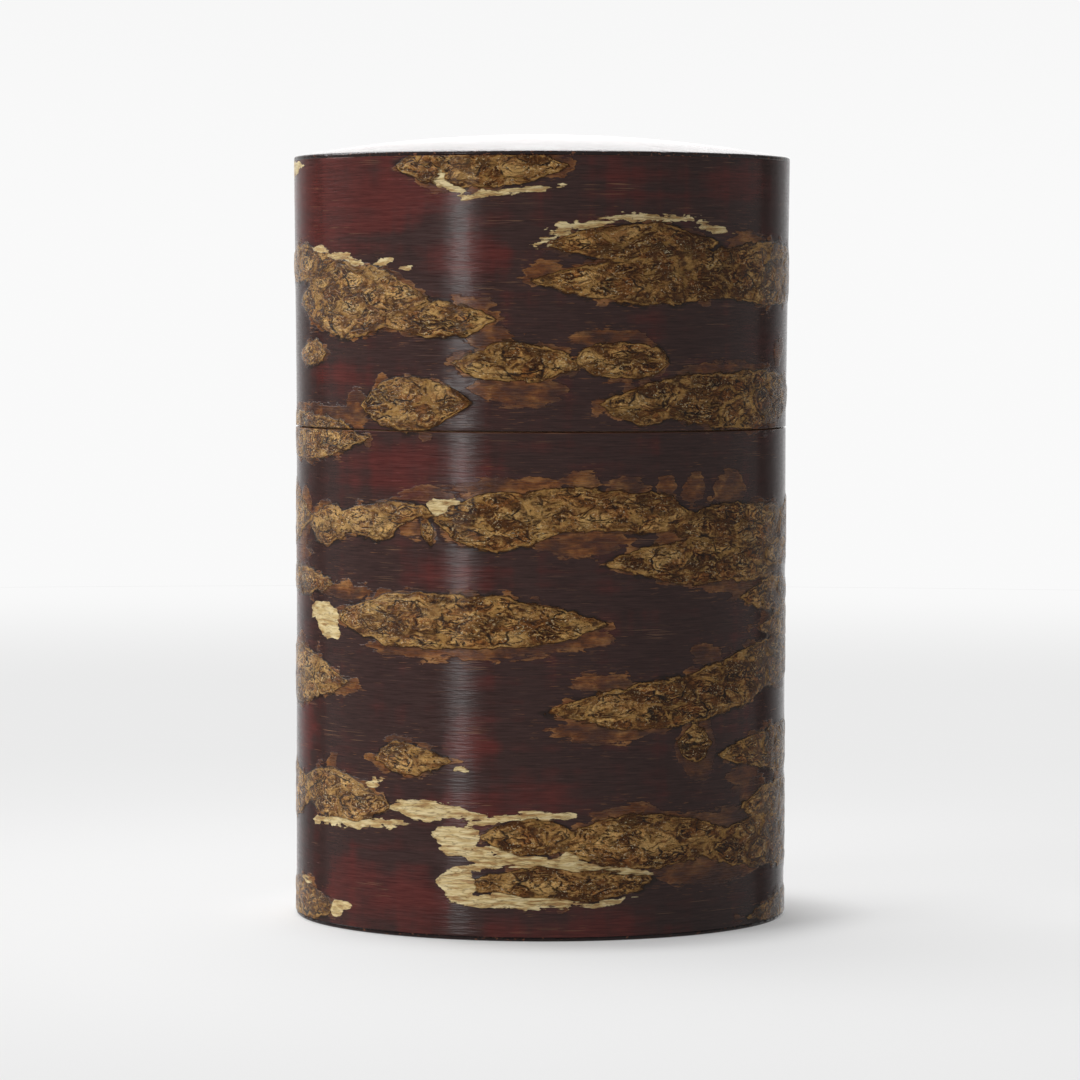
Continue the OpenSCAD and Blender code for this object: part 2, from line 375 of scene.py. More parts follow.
def wound_object(name, angle, r, z, raised=0.0):
    """A closed sheet with slanted ends. raised moves each point outward. The outline runs anticlockwise."""
    middle = (r.min() + r.max()) / 2
    shown = angle + (r - middle) * math.tan(SCARF) / middle
    out = r + raised
    points = np.stack([out * np.sin(shown), -out * np.cos(shown), z], axis=-1).reshape(-1, 3)
    columns, n = angle.shape[0] - 1, angle.shape[1]
    faces = []
    for c in range(columns):
        a, b = c * n, (c + 1) * n
        faces += [(a + k, b + k, b + (k + 1) % n, a + (k + 1) % n) for k in range(n)]
    last = columns * n
    faces += [tuple(range(n)), tuple(range(last + n - 1, last - 1, -1))]
    obj = make_object(name, points.tolist(), faces)
    store(obj, "sheet", np.stack([angle * r.max() / MM, z / MM, r / MM], axis=-1), "FLOAT_VECTOR")
    return obj


def band(name, r_out, r_in, z0, z1, joint, top=SOFT, foot=SOFT):
    """A thin wound sheet with softened outer edges."""
    corners = [(r_in, z0), (r_out, z0), (r_out, z1), (r_in, z1)]
    outline = rounded(corners, [0, foot, top, 0])
    return wound_object(name, *wound_grid(outline, BAND_COLUMNS, joint))


def turned(name, outline, columns, relief=None, closed=True):
    """A solid, a ring or an open surface turned about the axis. The outline runs anticlockwise."""
    outline = np.array(outline, float)
    angle = 2 * math.pi * np.arange(columns) / columns + np.zeros((len(outline), 1))
    r, z = outline[:, :1] + 0 * angle, outline[:, 1:] + 0 * angle
    if relief is not None:
        r, z = relief(angle, r, z)
    points, rings = [], []
    for k, ring in enumerate(np.stack([r * np.sin(angle), -r * np.cos(angle), z], axis=-1)):
        on_axis = outline[k, 0] < 1e-7
        rings.append([len(points)] * columns if on_axis else range(len(points), len(points) + columns))
        points += [(0.0, 0.0, ring[0, 2])] if on_axis else [tuple(p) for p in ring]
    pairs = list(zip(rings, rings[1:]))
    if closed and outline[0, 0] > 1e-7:
        pairs.append((rings[-1], rings[0]))
    faces = []
    for near, far in pairs:
        for c in range(columns):
            d = (c + 1) % columns
            faces.append(tuple(dict.fromkeys((near[c], near[d], far[d], far[c]))))
    obj = make_object(name, points, faces)
    store(obj, "sheet", np.array(points) / MM, "FLOAT_VECTOR")
    return obj


# ---- node trees


class Field:
    """A number that varies over a surface: a node's output that takes part in arithmetic."""

    def __init__(self, tree, socket):
        self.tree, self.socket = tree, socket

    def __add__(self, other):
        return self.tree.math("ADD", self, other)

    def __sub__(self, other):
        return self.tree.math("SUBTRACT", self, other)

    def __rsub__(self, other):
        return self.tree.math("SUBTRACT", other, self)

    def __mul__(self, other):
        return self.tree.math("MULTIPLY", self, other)

    __radd__, __rmul__ = __add__, __mul__

    def step(self, low, high):
        """0 where this is low, 1 where it is high, and a smooth step between. low may be the larger."""
        node = self.tree.add("MapRange", {"interpolation_type": "SMOOTHSTEP"}, Value=self)
        node.inputs["From Min"].default_value = low
        node.inputs["From Max"].default_value = high
        return Field(self.tree, node.outputs[0])


class Tree:
    """A material's nodes. Each method adds nodes and returns a Field, or a colour or vector output."""

    def __init__(self, name):
        self.material = bpy.data.materials.new(name)
        self.material.use_nodes = True
        self.nodes = self.material.node_tree.nodes
        self.nodes.clear()

    def feed(self, socket, value):
        if isinstance(value, Field):
            value = value.socket
        if isinstance(value, bpy.types.NodeSocket):
            self.material.node_tree.links.new(value, socket)
        elif socket.type == "RGBA":
            socket.default_value = (*value, 1)
        else:
            socket.default_value = value

    def add(self, kind, settings=None, **inputs):
        node = self.nodes.new("ShaderNode" + kind)
        for name, value in (settings or {}).items():
            setattr(node, name, value)
        for name, value in inputs.items():
            self.feed(node.inputs[name.replace("_", " ")], value)
        return node

    def math(self, operation, *values):
        node = self.add("Math", {"operation": operation})
        for socket, value in zip(node.inputs, values):
            self.feed(socket, value)
        return Field(self, node.outputs[0])

    def attribute(self, name):
        return Field(self, self.add("Attribute", {"attribute_name": name}).outputs["Fac"])

    def attribute_vector(self, name):
        return self.add("Attribute", {"attribute_name": name}).outputs["Vector"]

    def scaled(self, vector, size, shift=0.0):
        """The vector with one unit for each size in x, y and z, moved along by shift."""
        node = self.add("Mapping", Vector=vector)
        node.inputs["Scale"].default_value = [1 / length for length in size]
        node.inputs["Location"].default_value = (shift, shift * 0.7, shift * 0.3)
        return node.outputs[0]

    def noise(self, vector, size, detail=3.0, roughness=0.55, twist=0.0, shift=0.0):
        """Noise from 0 to 1, mostly near 0.5, whose bumps have that size."""
        place = self.scaled(vector, size, shift)
        looks = {"Detail": detail, "Roughness": roughness, "Distortion": twist}
        made = self.add("TexNoise", Vector=place, Scale=1, **looks)
        return Field(self, made.outputs["Fac"])

    def bent(self, vector, size, amount, shift=0.0):
        """The vector, pushed about in x and y by smooth noise."""
        place = self.scaled(vector, size, shift)
        push = self.add("TexNoise", Vector=place, Scale=1, Detail=2, Roughness=0.5).outputs["Color"]
        node = self.add("VectorMath", {"operation": "MULTIPLY_ADD"})
        for socket, value in zip(node.inputs, (push, (*amount, 0), vector)):
            self.feed(socket, value)
        return node.outputs[0]

    def cells(self, vector, size):
        """Distance from the border of the nearest cell, and a random tone for each cell, both from 0."""
        place = self.scaled(vector, size)
        plane = {"voronoi_dimensions": "2D"}
        border = self.add("TexVoronoi", {**plane, "feature": "DISTANCE_TO_EDGE"}, Vector=place, Scale=1)
        middle = self.add("TexVoronoi", {**plane, "feature": "F1"}, Vector=place, Scale=1)
        return Field(self, border.outputs["Distance"]), Field(self, middle.outputs["Color"])

    def mix(self, share, a, b):
        node = self.add("Mix", {"data_type": "RGBA"})
        for socket, value in zip((node.inputs[0], node.inputs[6], node.inputs[7]), (share, a, b)):
            self.feed(socket, value)
        return node.outputs[2]

    def shade(self, colour, brightness):
        """The colour made brighter or darker by a Field."""
        node = self.add("VectorMath", {"operation": "SCALE"})
        self.feed(node.inputs[0], colour)
        self.feed(node.inputs["Scale"], brightness)
        return node.outputs[0]

    def ramp(self, value, stops):
        node = self.add("ValToRGB", Fac=value)
        while len(node.color_ramp.elements) < len(stops):
            node.color_ramp.elements.new(1)
        for element, (position, colour) in zip(node.color_ramp.elements, stops):
            element.position = position
            element.color = (*colour, 1)
        return node.outputs[0]

    def finish(self, colour, roughness, height, coat=0.0, coat_roughness=0.1, specular=0.5):
        """Ends the material. height is in millimetres."""
        bump = self.add("Bump", Height=height, Strength=1.0, Distance=MM)
        shader = self.add("BsdfPrincipled", Base_Color=colour, Roughness=roughness, Normal=bump.outputs[0])
        shader.inputs["IOR"].default_value = 1.45
        self.feed(shader.inputs["Specular IOR Level"], specular)
        shader.inputs["Coat Weight"].default_value = coat
        shader.inputs["Coat Roughness"].default_value = coat_roughness
        output = self.add("OutputMaterial", Surface=shader.outputs[0])
        output.is_active_output = True
        return self.material


# ---- materials

BARK_DARK, BARK_RED = (0.042, 0.02, 0.0176), (0.094, 0.019, 0.0155)
# The colour of painted shade, in a core's hollows and beside a core.
SHADE_BLACK_BROWN = (0.018, 0.01, 0.007)
CUT_EDGE = (0.22, 0.068, 0.032)


def polished_bark(t, sheet, warmth):
    """Colour, roughness and height of smooth, ironed cherry bark. warmth is from 0, dark, to 1, red."""
    cloud = t.noise(sheet, (10, 5, 10), 4, 0.6, shift=3)
    belt = t.noise(sheet, (34, 1.8, 34), 3, 0.55, shift=15)
    column = t.noise(sheet, (2.6, 30, 2.6), 3, 0.5, shift=8)
    groove = t.noise(sheet, (5, 0.24, 2), 4, 0.6, shift=21)
    hair = t.noise(sheet, (2.2, 0.12, 1), 3, 0.65, shift=37)
    warm = warmth * 0.85 + (cloud - 0.5) * 1.5 + (belt - 0.5) * 1.3 + (column - 0.5) * 1.2
    colour = t.mix(warm.step(-0.05, 1.05), BARK_DARK, BARK_RED)
    colour = t.shade(colour, groove * 1.5 + hair * 1.1 - 0.3)
    roughness = groove * 0.2 + hair * 0.12 + 0.06
    glint = t.noise(sheet, (3.2, 0.34, 1), 2, 0.5, shift=77)
    height = glint * 0.055 + groove * 0.012 + hair * 0.003 + column * 0.02
    return colour, roughness, height


def film_bark(t, sheet, depth):
    """Colour and height of a thin film, rust to tan, streaked along the sheet, darker at its border."""
    mottle = t.noise(sheet, (2.4, 1.2, 1), 4, 0.6, 0.6, shift=5)
    blush = t.noise(sheet, (8, 4, 1), 2, shift=71)
    fibre = t.noise(sheet, (3.6, 0.22, 1), 3, 0.6, shift=14)
    curl = t.noise(sheet, (2.6, 1.1, 1), 3, 0.5, 1.2, shift=23)
    colour = t.ramp(mottle * 0.6 + blush * 0.4, [
        (0.34, (0.075, 0.025, 0.009)), (0.45, (0.145, 0.047, 0.014)), (0.54, (0.22, 0.082, 0.022)),
        (0.66, (0.35, 0.165, 0.052)),
    ])
    line = t.math("PINGPONG", curl * 3 + depth * 0.5, 0.5) * 2
    colour = t.shade(colour, fibre * 1.3 + line.step(0.0, 0.4) * 0.35 + 0.02)
    rim = depth.step(0.08, 0.2) * depth.step(0.5, 0.3) * mottle.step(0.42, 0.56)
    colour = t.mix(rim * 0.5, colour, (0.34, 0.16, 0.055))
    height = mottle * 0.05 + fibre * 0.02 + line * 0.012
    return t.mix(depth.step(-0.02, 0.16), (0.045, 0.016, 0.009), colour), height


def cream_bark(t, sheet, depth):
    """Colour and height of bare inner bark: pale strands with thin brown lines between them."""
    mottle = t.noise(sheet, (2.8, 0.5, 1), 4, 0.6, 0.3, shift=9)
    strand = t.noise(sheet, (3.6, 0.55, 1), 3, 0.5, 0.5, shift=31)
    colour = t.ramp(mottle, [
        (0.36, (0.36, 0.2, 0.07)), (0.46, (0.58, 0.42, 0.18)), (0.6, (0.75, 0.61, 0.335)),
    ])
    line = t.math("ABSOLUTE", strand - 0.5).step(0.004, 0.026)
    colour = t.mix(line * 0.55 + 0.45, (0.2, 0.095, 0.033), colour)
    shell = depth.step(0.1, 0.2) * depth.step(0.42, 0.3) * mottle.step(0.56, 0.46)
    colour = t.mix(shell * 0.6, colour, (0.36, 0.19, 0.065))
    return t.mix(depth.step(0.0, 0.1), (0.1, 0.042, 0.016), colour), mottle * 0.05 + line * 0.04


def cork_colour(t, sheet, shade):
    """Dark brown to gold by shade, with rusty and olive places."""
    colour = t.ramp(shade, [
        (0.28, (0.07, 0.024, 0.006)), (0.4, (0.135, 0.054, 0.013)), (0.5, (0.215, 0.098, 0.027)),
        (0.6, (0.31, 0.155, 0.045)), (0.74, (0.45, 0.26, 0.088)),
    ])
    rust = t.noise(sheet, (3.4, 2.0, 1), 3, shift=61).step(0.51, 0.62)
    colour = t.mix(rust * 0.7, colour, (0.205, 0.07, 0.016))
    olive = t.noise(sheet, (2.8, 1.6, 1), 3, shift=66).step(0.53, 0.64)
    return t.mix(olive * 0.4, colour, (0.14, 0.09, 0.03))


def cork_shaded_hollows(t, sheet, edge, cell):
    """1 in a core's pits, in the gaps beside its cells, and in its cracks, where the core is darkened as
    painted shade.
    """
    crack = cell.step(0.065, 0.02) * t.noise(sheet, (2.6, 1.8, 1), 2, shift=90).step(0.47, 0.56)
    pit = t.noise(sheet, (0.8, 0.5, 1), 3, shift=70).step(0.37, 0.32)
    gap = edge.step(0.16, 0.04)
    return t.math("MAXIMUM", t.math("MAXIMUM", pit, gap), crack)


def corky_bark(t, sheet, edge, tone):
    """Colour, height and fine grain of a corky core: pitted cells, folded in layers along their borders,
    with painted light and shade on the folds.
    """
    bent = t.bent(sheet, (3.2, 2.0, 1), (3.4, 2.2), shift=2)
    cell, cell_tone = t.cells(bent, (4.6, 2.3, 1))
    fine = t.noise(sheet, (0.7, 0.5, 1), 4, 0.65, 1.0, shift=27)
    crumb = t.noise(sheet, (0.34, 0.28, 1), 3, 0.6, 0.6, shift=36)
    patch = t.noise(sheet, (3.6, 2.0, 1), 3, 0.55, 0.8, shift=44)
    swirl = t.noise(bent, (4.6, 1.5, 1), 2, 0.5, 1.2, shift=41)
    busy = t.noise(sheet, (2.6, 1.6, 1), 2, 0.5, shift=52).step(0.4, 0.56)
    shade = (patch - 0.5) * 1.5 + (tone - 0.5) * 0.15 + (cell_tone - 0.5) * 0.5 + (fine - 0.5) * 0.35 + 0.5
    colour = cork_colour(t, sheet, shade)
    fold = t.math("PINGPONG", edge * 1.4 + swirl * 3.8 + fine * 0.6, 0.5) * 2
    grain = t.noise(bent, (0.34, 0.2, 1), 1, 0.5, 1.2, shift=95).step(0.38, 0.62)
    pitted = crumb.step(0.36, 0.52)
    # Painted light and shade: the folds are lit and shaded in the colour, mixed with the grain and pits.
    fold_shade_and_grain = fold * (busy * 0.7 + 0.4) + grain * 0.6 + pitted * 0.6 + (busy * -0.3 + 0.18)
    plain = cell_tone.step(0.66, 0.76) * 0.6
    colour = t.shade(colour, fold_shade_and_grain * (1 - plain) + plain)
    # Painted shade darkens the creases, and a painted highlight lightens the fold lips.
    shaded_crease = fold.step(0.34, 0.1) * (busy * 0.6 + 0.4)
    lit_lip = fold.step(0.7, 0.92) * busy * crumb.step(0.38, 0.5)
    colour = t.mix(shaded_crease * 0.85, colour, (0.03, 0.011, 0.005))
    colour = t.mix(lit_lip * 0.7, colour, (0.6, 0.38, 0.13))
    # Painted glints: small pale flecks where the core's crumbs are highest.
    fleck = crumb.step(0.6, 0.645) * t.noise(sheet, (2.6, 1.6, 1), 3, shift=83).step(0.44, 0.54)
    colour = t.mix(fleck * 0.85, colour, (0.68, 0.55, 0.33))

    shaded_hollow = cork_shaded_hollows(t, sheet, edge, cell)
    # Painted shade: the pits, gaps and cracks are darkened nearly to black.
    colour = t.mix(shaded_hollow * 0.9, colour, SHADE_BLACK_BROWN)
    margin = (edge + (patch - 0.5) * 3.0).step(1.0, 0.2)
    colour = t.mix(margin * 0.42, colour, (0.115, 0.045, 0.012))
    rim = edge.step(0.14, 0.2) * edge.step(0.44, 0.3) * patch.step(0.42, 0.54)
    colour = t.mix(rim * 0.6, colour, (0.46, 0.25, 0.07))
    height = fold * 0.13 + crumb * 0.24 + grain * 0.02 + fine * 0.06 + patch * 0.08
    return colour, height - shaded_crease * 0.05 - shaded_hollow * 0.1, crumb


def marked(t, sheet, colour, core, film):
    """Polished bark's colour with dashes near a film, long scratches, and a dark line beside a core."""
    dash = t.noise(sheet, (2.6, 0.15, 1), 3, 0.5, shift=18).step(0.63, 0.69) * film.step(-3.2, -0.4)
    colour = t.mix(dash * 0.7, colour, (0.24, 0.1, 0.042))
    scored = t.noise(sheet, (16, 3, 1), 2, shift=73).step(0.54, 0.62)
    scratch = t.noise(sheet, (7.0, 0.11, 1), 1, 0.5, shift=29).step(0.66, 0.72) * scored
    colour = t.mix(scratch * 0.6, colour, (0.27, 0.14, 0.075))
    shadow = core.step(-0.5, -0.05) * 0.8
    return t.mix(shadow, colour, SHADE_BLACK_BROWN)


def rough_bark():
    """The outer bark: polished bark, films, bare inner bark, corky cores and the sheet's cut edges."""
    t = Tree("rough_bark")
    sheet = t.attribute_vector("sheet")
    core, film, cream = t.attribute("core"), t.attribute("film"), t.attribute("cream")
    edge, tone, cut = t.attribute("edge"), t.attribute("tone"), t.attribute("cut")
    ragged = t.noise(sheet, (2.0, 1.1, 1), 4, 0.5, 0.8, shift=11) - 0.5
    lobed = t.noise(sheet, (2.6, 1.3, 1), 4, 0.6, 0.9, shift=33) - 0.5
    torn = t.noise(sheet, (5.0, 0.5, 1), 2, 0.5, 0.3, shift=57) - 0.5
    core = core + ragged * 1.3
    film = film + lobed * 2.2 + ragged * 0.8 + torn * 2.2
    cream = cream + ragged * 1.7 + torn * 1.2 - 0.22
    is_core = core.step(-0.03, 0.06) * (core - cream).step(-0.1, 0.15)
    is_film = film.step(-0.1, 0.2)
    is_cream = cream.step(-0.03, 0.05)

    colour, roughness, height = polished_bark(t, sheet, t.attribute("red"))
    colour = marked(t, sheet, colour, core, film)
    veil = t.noise(sheet, (5, 2.6, 1), 4, 0.6, shift=48).step(0.38, 0.62) * 0.75 + 0.2
    film_colour, film_height = film_bark(t, sheet, film)
    # The films follow tone: random per cell, and darker on the right as painted shade.
    tone_and_side_shade = tone.step(-0.9, 0.3) * 0.55 + 0.45
    colour = t.mix(is_film * veil * tone_and_side_shade, colour, film_colour)
    cream_colour, cream_height = cream_bark(t, sheet, cream)
    colour = t.mix(is_cream, colour, cream_colour)
    border = t.math("MINIMUM", core, edge + ragged * 0.6)
    core_colour, core_height, core_fine = corky_bark(t, sheet, border, tone)
    colour = t.mix(is_core, colour, core_colour)
    layers = t.noise(sheet, (3, 3, 0.12), 3, shift=6) * 0.9 + 0.45
    # cut also covers each wall's top curve, where the layers' lighter colour is partly painted light from
    # above.
    colour = t.mix(cut, colour, t.shade(CUT_EDGE, layers))

    height = height + is_film * (film_height + 0.03)
    height = height + is_cream * (cream_height - 0.02)
    height = height + is_core * (core_height + 0.05)
    roughness = roughness + is_film * 0.06
    roughness = roughness + is_cream * 0.1
    roughness = roughness * (1 - is_core) + is_core * (core_fine * 0.3 + 0.04)
    specular = 0.5 - is_core * 0.18
    return t.finish(colour, roughness, height, coat=0.08, coat_roughness=0.1, specular=specular)


def smooth_bark(name, warmth):
    """Polished cherry bark with short golden pore lines."""
    t = Tree(name)
    sheet = t.attribute_vector("sheet")
    drift = t.noise(sheet, (30, 14, 30), 2, shift=13)
    colour, roughness, height = polished_bark(t, sheet, drift * 0.6 + (warmth - 0.3))
    row = t.noise(sheet, (40, 2.2, 40), 2, shift=29).step(0.5, 0.62)
    pore = t.noise(sheet, (2.6, 0.28, 2.6), 2, 0.5, 0.2, shift=41).step(0.6, 0.66) * row
    colour = t.mix(pore, colour, (0.3, 0.15, 0.07))
    return t.finish(colour, roughness + pore * 0.15, height + pore * 0.02, coat=0.12, coat_roughness=0.12)


def crown_bark():
    """The crown's and the base's bark: polished, with a dark outer edge that has lighter chips."""
    t = Tree("crown_bark")
    sheet = t.attribute_vector("sheet")
    colour, roughness, height = polished_bark(t, sheet, t.noise(sheet, (22, 9, 22), 2, shift=3) * 1.1 - 0.2)
    pore = t.noise(sheet, (2.2, 0.3, 2), 2, 0.5, 0.2, shift=41).step(0.62, 0.68)
    row = t.noise(sheet, (40, 1.8, 40), 2, shift=17).step(0.5, 0.62)
    colour = t.mix(pore * row, colour, (0.28, 0.13, 0.06))
    dark_rim = t.attribute("dark_rim")
    chip = t.noise(sheet, (0.7, 0.7, 0.4), 3, 0.6, shift=8).step(0.6, 0.66)
    edge_colour = t.mix(chip, (0.02, 0.01, 0.009), (0.16, 0.06, 0.03))
    colour = t.mix(dark_rim, colour, edge_colour)
    return t.finish(colour, roughness, height, coat=0.2, coat_roughness=0.08)


def veneer(name, pale, dark):
    """Wound veneer: fine layers across its thickness, and grain up its faces."""
    t = Tree(name)
    place = t.add("TexCoord").outputs["Object"]
    split = t.add("SeparateXYZ", Vector=place)
    x, y = Field(t, split.outputs[0]), Field(t, split.outputs[1])
    radius = t.math("SQRT", x * x + y * y) * (1 / MM)
    grain = t.noise(place, (1.1 * MM, 1.1 * MM, 16 * MM), 4, 0.6, shift=4)
    pore = t.noise(place, (0.25 * MM, 0.25 * MM, 3 * MM), 2, shift=19).step(0.62, 0.7)
    layer = t.math("SINE", radius * 42 + grain * 5) * 0.5 + 0.5
    colour = t.mix(grain.step(0.3, 0.7), dark, pale)
    colour = t.shade(colour, layer * 0.16 + 0.88)
    colour = t.mix(pore * 0.55, colour, [0.45 * c for c in dark])
    return t.finish(colour, grain * 0.2 + 0.45, grain * 0.03 - pore * 0.03)


def plate_wood():
    """Fine pale wood with straight growth rings, for the discs."""
    t = Tree("plate_wood")
    place = t.add("TexCoord").outputs["Object"]
    wave = t.noise(place, (60 * MM, 7 * MM, 30 * MM), 2, shift=2)
    ring = t.math("SINE", wave * 60)
    fleck = t.noise(place, (5 * MM, 0.3 * MM, 0.3 * MM), 3, shift=9)
    colour = t.mix(ring * 0.5 + 0.5, (0.42, 0.26, 0.13), (0.53, 0.36, 0.19))
    colour = t.shade(colour, fleck * 0.5 + 0.72)
    return t.finish(colour, fleck * 0.2 + 0.45, fleck * 0.03)


def knob_wood():
    """Turned cherry wood, with figure across it and faint tool rings round it."""
    t = Tree("knob_wood")
    sheet = t.attribute_vector("sheet")
    figure = t.noise(sheet, (8, 1.4, 3), 4, 0.6, 0.5, shift=6)
    pore = t.noise(sheet, (1.6, 0.14, 0.14), 2, shift=15).step(0.6, 0.68)
    split = t.add("SeparateXYZ", Vector=sheet)
    tool = t.math("SINE", Field(t, split.outputs[2]) * 30)
    colour = t.ramp(figure, [
        (0.3, (0.085, 0.03, 0.014)), (0.5, (0.16, 0.06, 0.027)), (0.7, (0.25, 0.105, 0.048)),
    ])
    colour = t.mix(pore * 0.6, colour, (0.05, 0.018, 0.009))
    return t.finish(colour, figure * 0.2 + 0.22, tool * 0.004 - pore * 0.02, coat=0.15, coat_roughness=0.1)


# ---- pieces


def dress(obj, body, slot, material, *nodes):
    """Gives a new piece its material and the body it rides on, and hides the CAD nodes it stands for."""
    obj.data.materials.append(material)
    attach(obj, body)
    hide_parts(*nodes)


WALL_COLUMNS, BODY_ROWS, LID_ROWS = 552, 170, 94
JOINT_BACK = 180  # degrees from the front at which the outer bark's ends meet


def bark_wall(name, foot_r, top_r, z0, z1, rows, foot, top):
    """The outer bark round the body or the lid. foot and top are the sizes of its edges' curves."""
    outline = [(PLY_R, z0)]
    outline += bend((foot_r - foot, z0), (foot_r, z0), (foot_r, z0 + foot))
    outline += evenly((foot_r, z0 + foot), (top_r, z1 - top), rows)[1:-1]
    outline += bend((top_r, z1 - top), (top_r, z1), (top_r - top, z1))
    outline += [(PLY_R, z1)]
    angle, r, z = wound_grid(outline, WALL_COLUMNS, JOINT_BACK)
    s_mm, z_mm = angle * SHEET_MM, z / MM
    fields, height = bark_fields(s_mm, z_mm)
    wall = np.zeros(len(outline))  # the relief stops short of both ends
    wall[3:-3] = 1
    obj = wound_object(name, angle, r, z, raised=height * wall * MM)
    for field, values in fields.items():
        store(obj, field, values)
    cut = np.zeros(len(outline))  # both ends show the bark's layers; the top one's curve gets their lighter colour too, partly as painted light from above, while the foot's curve keeps the bark's colour
    cut[[0, 1, -2, -1]] = 1
    cut[-4:-2] = (0.35, 1)
    store(obj, "cut", cut + 0 * angle)
    return obj


def radii(obj):
    """Each vertex's distance from the caddy's axis."""
    return np.hypot(*np.array([v.co[:2] for v in obj.data.vertices]).T)


def dome_z(r, depth=0.0):
    """Height of the crown's surface, or of the surface that lies depth below it."""
    return CROWN_TOP_Z - DOME_R + np.sqrt((DOME_R - depth) ** 2 - r**2)


def crown_skin():
    """The domed bark on the lid, slightly uneven, with a chipped edge."""
    under = [(r, dome_z(r, END_T)) for r in np.linspace(0, CROWN_R, 9)]
    flat_r = CROWN_R - EDGE
    side = bend((CROWN_R, CROWN_EDGE_Z - EDGE), (CROWN_R, CROWN_EDGE_Z), (flat_r, dome_z(flat_r)), 4)
    over = [(r, dome_z(r)) for r in flat_r * np.linspace(1, 0, 48) ** 0.9][1:]
    wave, chips = Noise(41), Noise(42)

    def relief(angle, r, z):
        x, y = r * np.sin(angle) / MM, r * np.cos(angle) / MM
        on_top = (z > dome_z(np.minimum(r, CROWN_R), END_T / 2)) & (r < CROWN_R)
        z = z + on_top * 0.03 * MM * wave.at(x / 13, y / 13, 2)
        near_edge = smooth(r, CROWN_R - 2 * EDGE, CROWN_R - EDGE) * (z > CROWN_EDGE_Z - 1.2 * EDGE)
        chipped = np.clip(chips.at(angle * 60, 0 * angle, 3) - 0.3, 0, 1)
        return r - near_edge * chipped * 0.25 * MM, z - near_edge * chipped * 0.2 * MM

    obj = turned("crown_skin", under + side + over, 480, relief)
    store(obj, "dark_rim", smooth(radii(obj), CROWN_R - 1.6 * EDGE, CROWN_R - 0.6 * EDGE))
    return obj


def base_skin():
    """The bark disc under the base, with its lower edge rounded."""
    corners = [(0, 0), (OUTER_R, 0), (OUTER_R, WRAP_FOOT_Z), (0, WRAP_FOOT_Z)]
    obj = turned("base_skin", rounded(corners, [0, EDGE, SOFT, 0], closed=False), 360)
    store(obj, "dark_rim", smooth(radii(obj), OUTER_R - 1.6 * EDGE, OUTER_R - 0.6 * EDGE))
    return obj


def disc(name, radius, z0, z1):
    """A thin round sheet, very slightly uneven."""
    wave = Noise(len(name))  # the discs differ

    def relief(angle, r, z):
        x, y = r * np.sin(angle) / MM / 9, r * np.cos(angle) / MM / 9
        return r, z + (z > (z0 + z1) / 2) * 0.02 * MM * wave.at(x, y, 2)

    inner = [(r, z1) for r in np.linspace(radius * 0.96, 0, 14)]
    corners = rounded([(0, z0), (radius, z0), (radius, z1), (0, z1)], [0, SOFT, SOFT, 0], closed=False)
    return turned(name, corners[:-1] + inner, DISC_COLUMNS, relief)


KNOB_CAP_T, KNOB_DOME_RISE = 0.5 * MM, 1.2 * MM


def knob_dome(top, start, end, count):
    """count points of a dome as wide as the knob. start and end are shares of its radius."""
    return [(KNOB_R * t, top - KNOB_DOME_RISE * t * t) for t in np.linspace(start, end, count)]


def knob():
    """The turned knob with its tenon: a waisted stem that flares out to a rounded rim."""
    stem_r, tenon_r, rim_z = 3.4 * MM, 2.5 * MM, KNOB_CAP_LOW_Z + 0.5 * MM
    flare_z = rim_z - 1.7 * MM
    outline = [(0, TENON_FOOT_Z), (tenon_r, TENON_FOOT_Z), (tenon_r, KNOB_Z), (stem_r + 0.5 * MM, KNOB_Z)]
    for t in np.linspace(0, 1, 12)[:-1]:
        r = stem_r + (KNOB_R - stem_r) * t**2.4
        outline.append((r, KNOB_Z + (flare_z - KNOB_Z) * (0.08 + 0.92 * t)))
    outline += bend((KNOB_R, flare_z), (KNOB_R, flare_z), (KNOB_R, rim_z - 0.3 * MM), 2)
    outline += knob_dome(KNOB_TOP_Z - KNOB_CAP_T, 0.985, 0, 10)
    return turned("knob", outline, KNOB_COLUMNS)


def knob_cap():
    """The thin domed bark on the knob."""
    under = knob_dome(KNOB_TOP_Z - KNOB_CAP_T, 0, 0.985, 8)
    return turned("knob_cap", under + knob_dome(KNOB_TOP_Z, 0.985, 0, 14), KNOB_COLUMNS)


def build_outside():
    bark, crown = rough_bark(), crown_bark()
    top = CUT_Z - CUT_GAP
    wall = bark_wall("body_bark", OUTER_R, OUTER_R, WRAP_FOOT_Z, top, BODY_ROWS, SOFT, CUT_SOFT)
    dress(wall, "body", "outer_bark", bark, "body_bark_wrap")
    foot, top = CUT_Z + CUT_GAP, float(dome_z(CROWN_R, END_T))
    wall = bark_wall("lid_bark", OUTER_R, CROWN_R, foot, top, LID_ROWS, CUT_SOFT, SOFT)
    dress(wall, "lid", "outer_bark", bark, "lid_bark_wrap")
    dress(crown_skin(), "lid", "end_bark", crown, "crown_bark")
    dress(base_skin(), "body", "end_bark", crown, "base_bark")


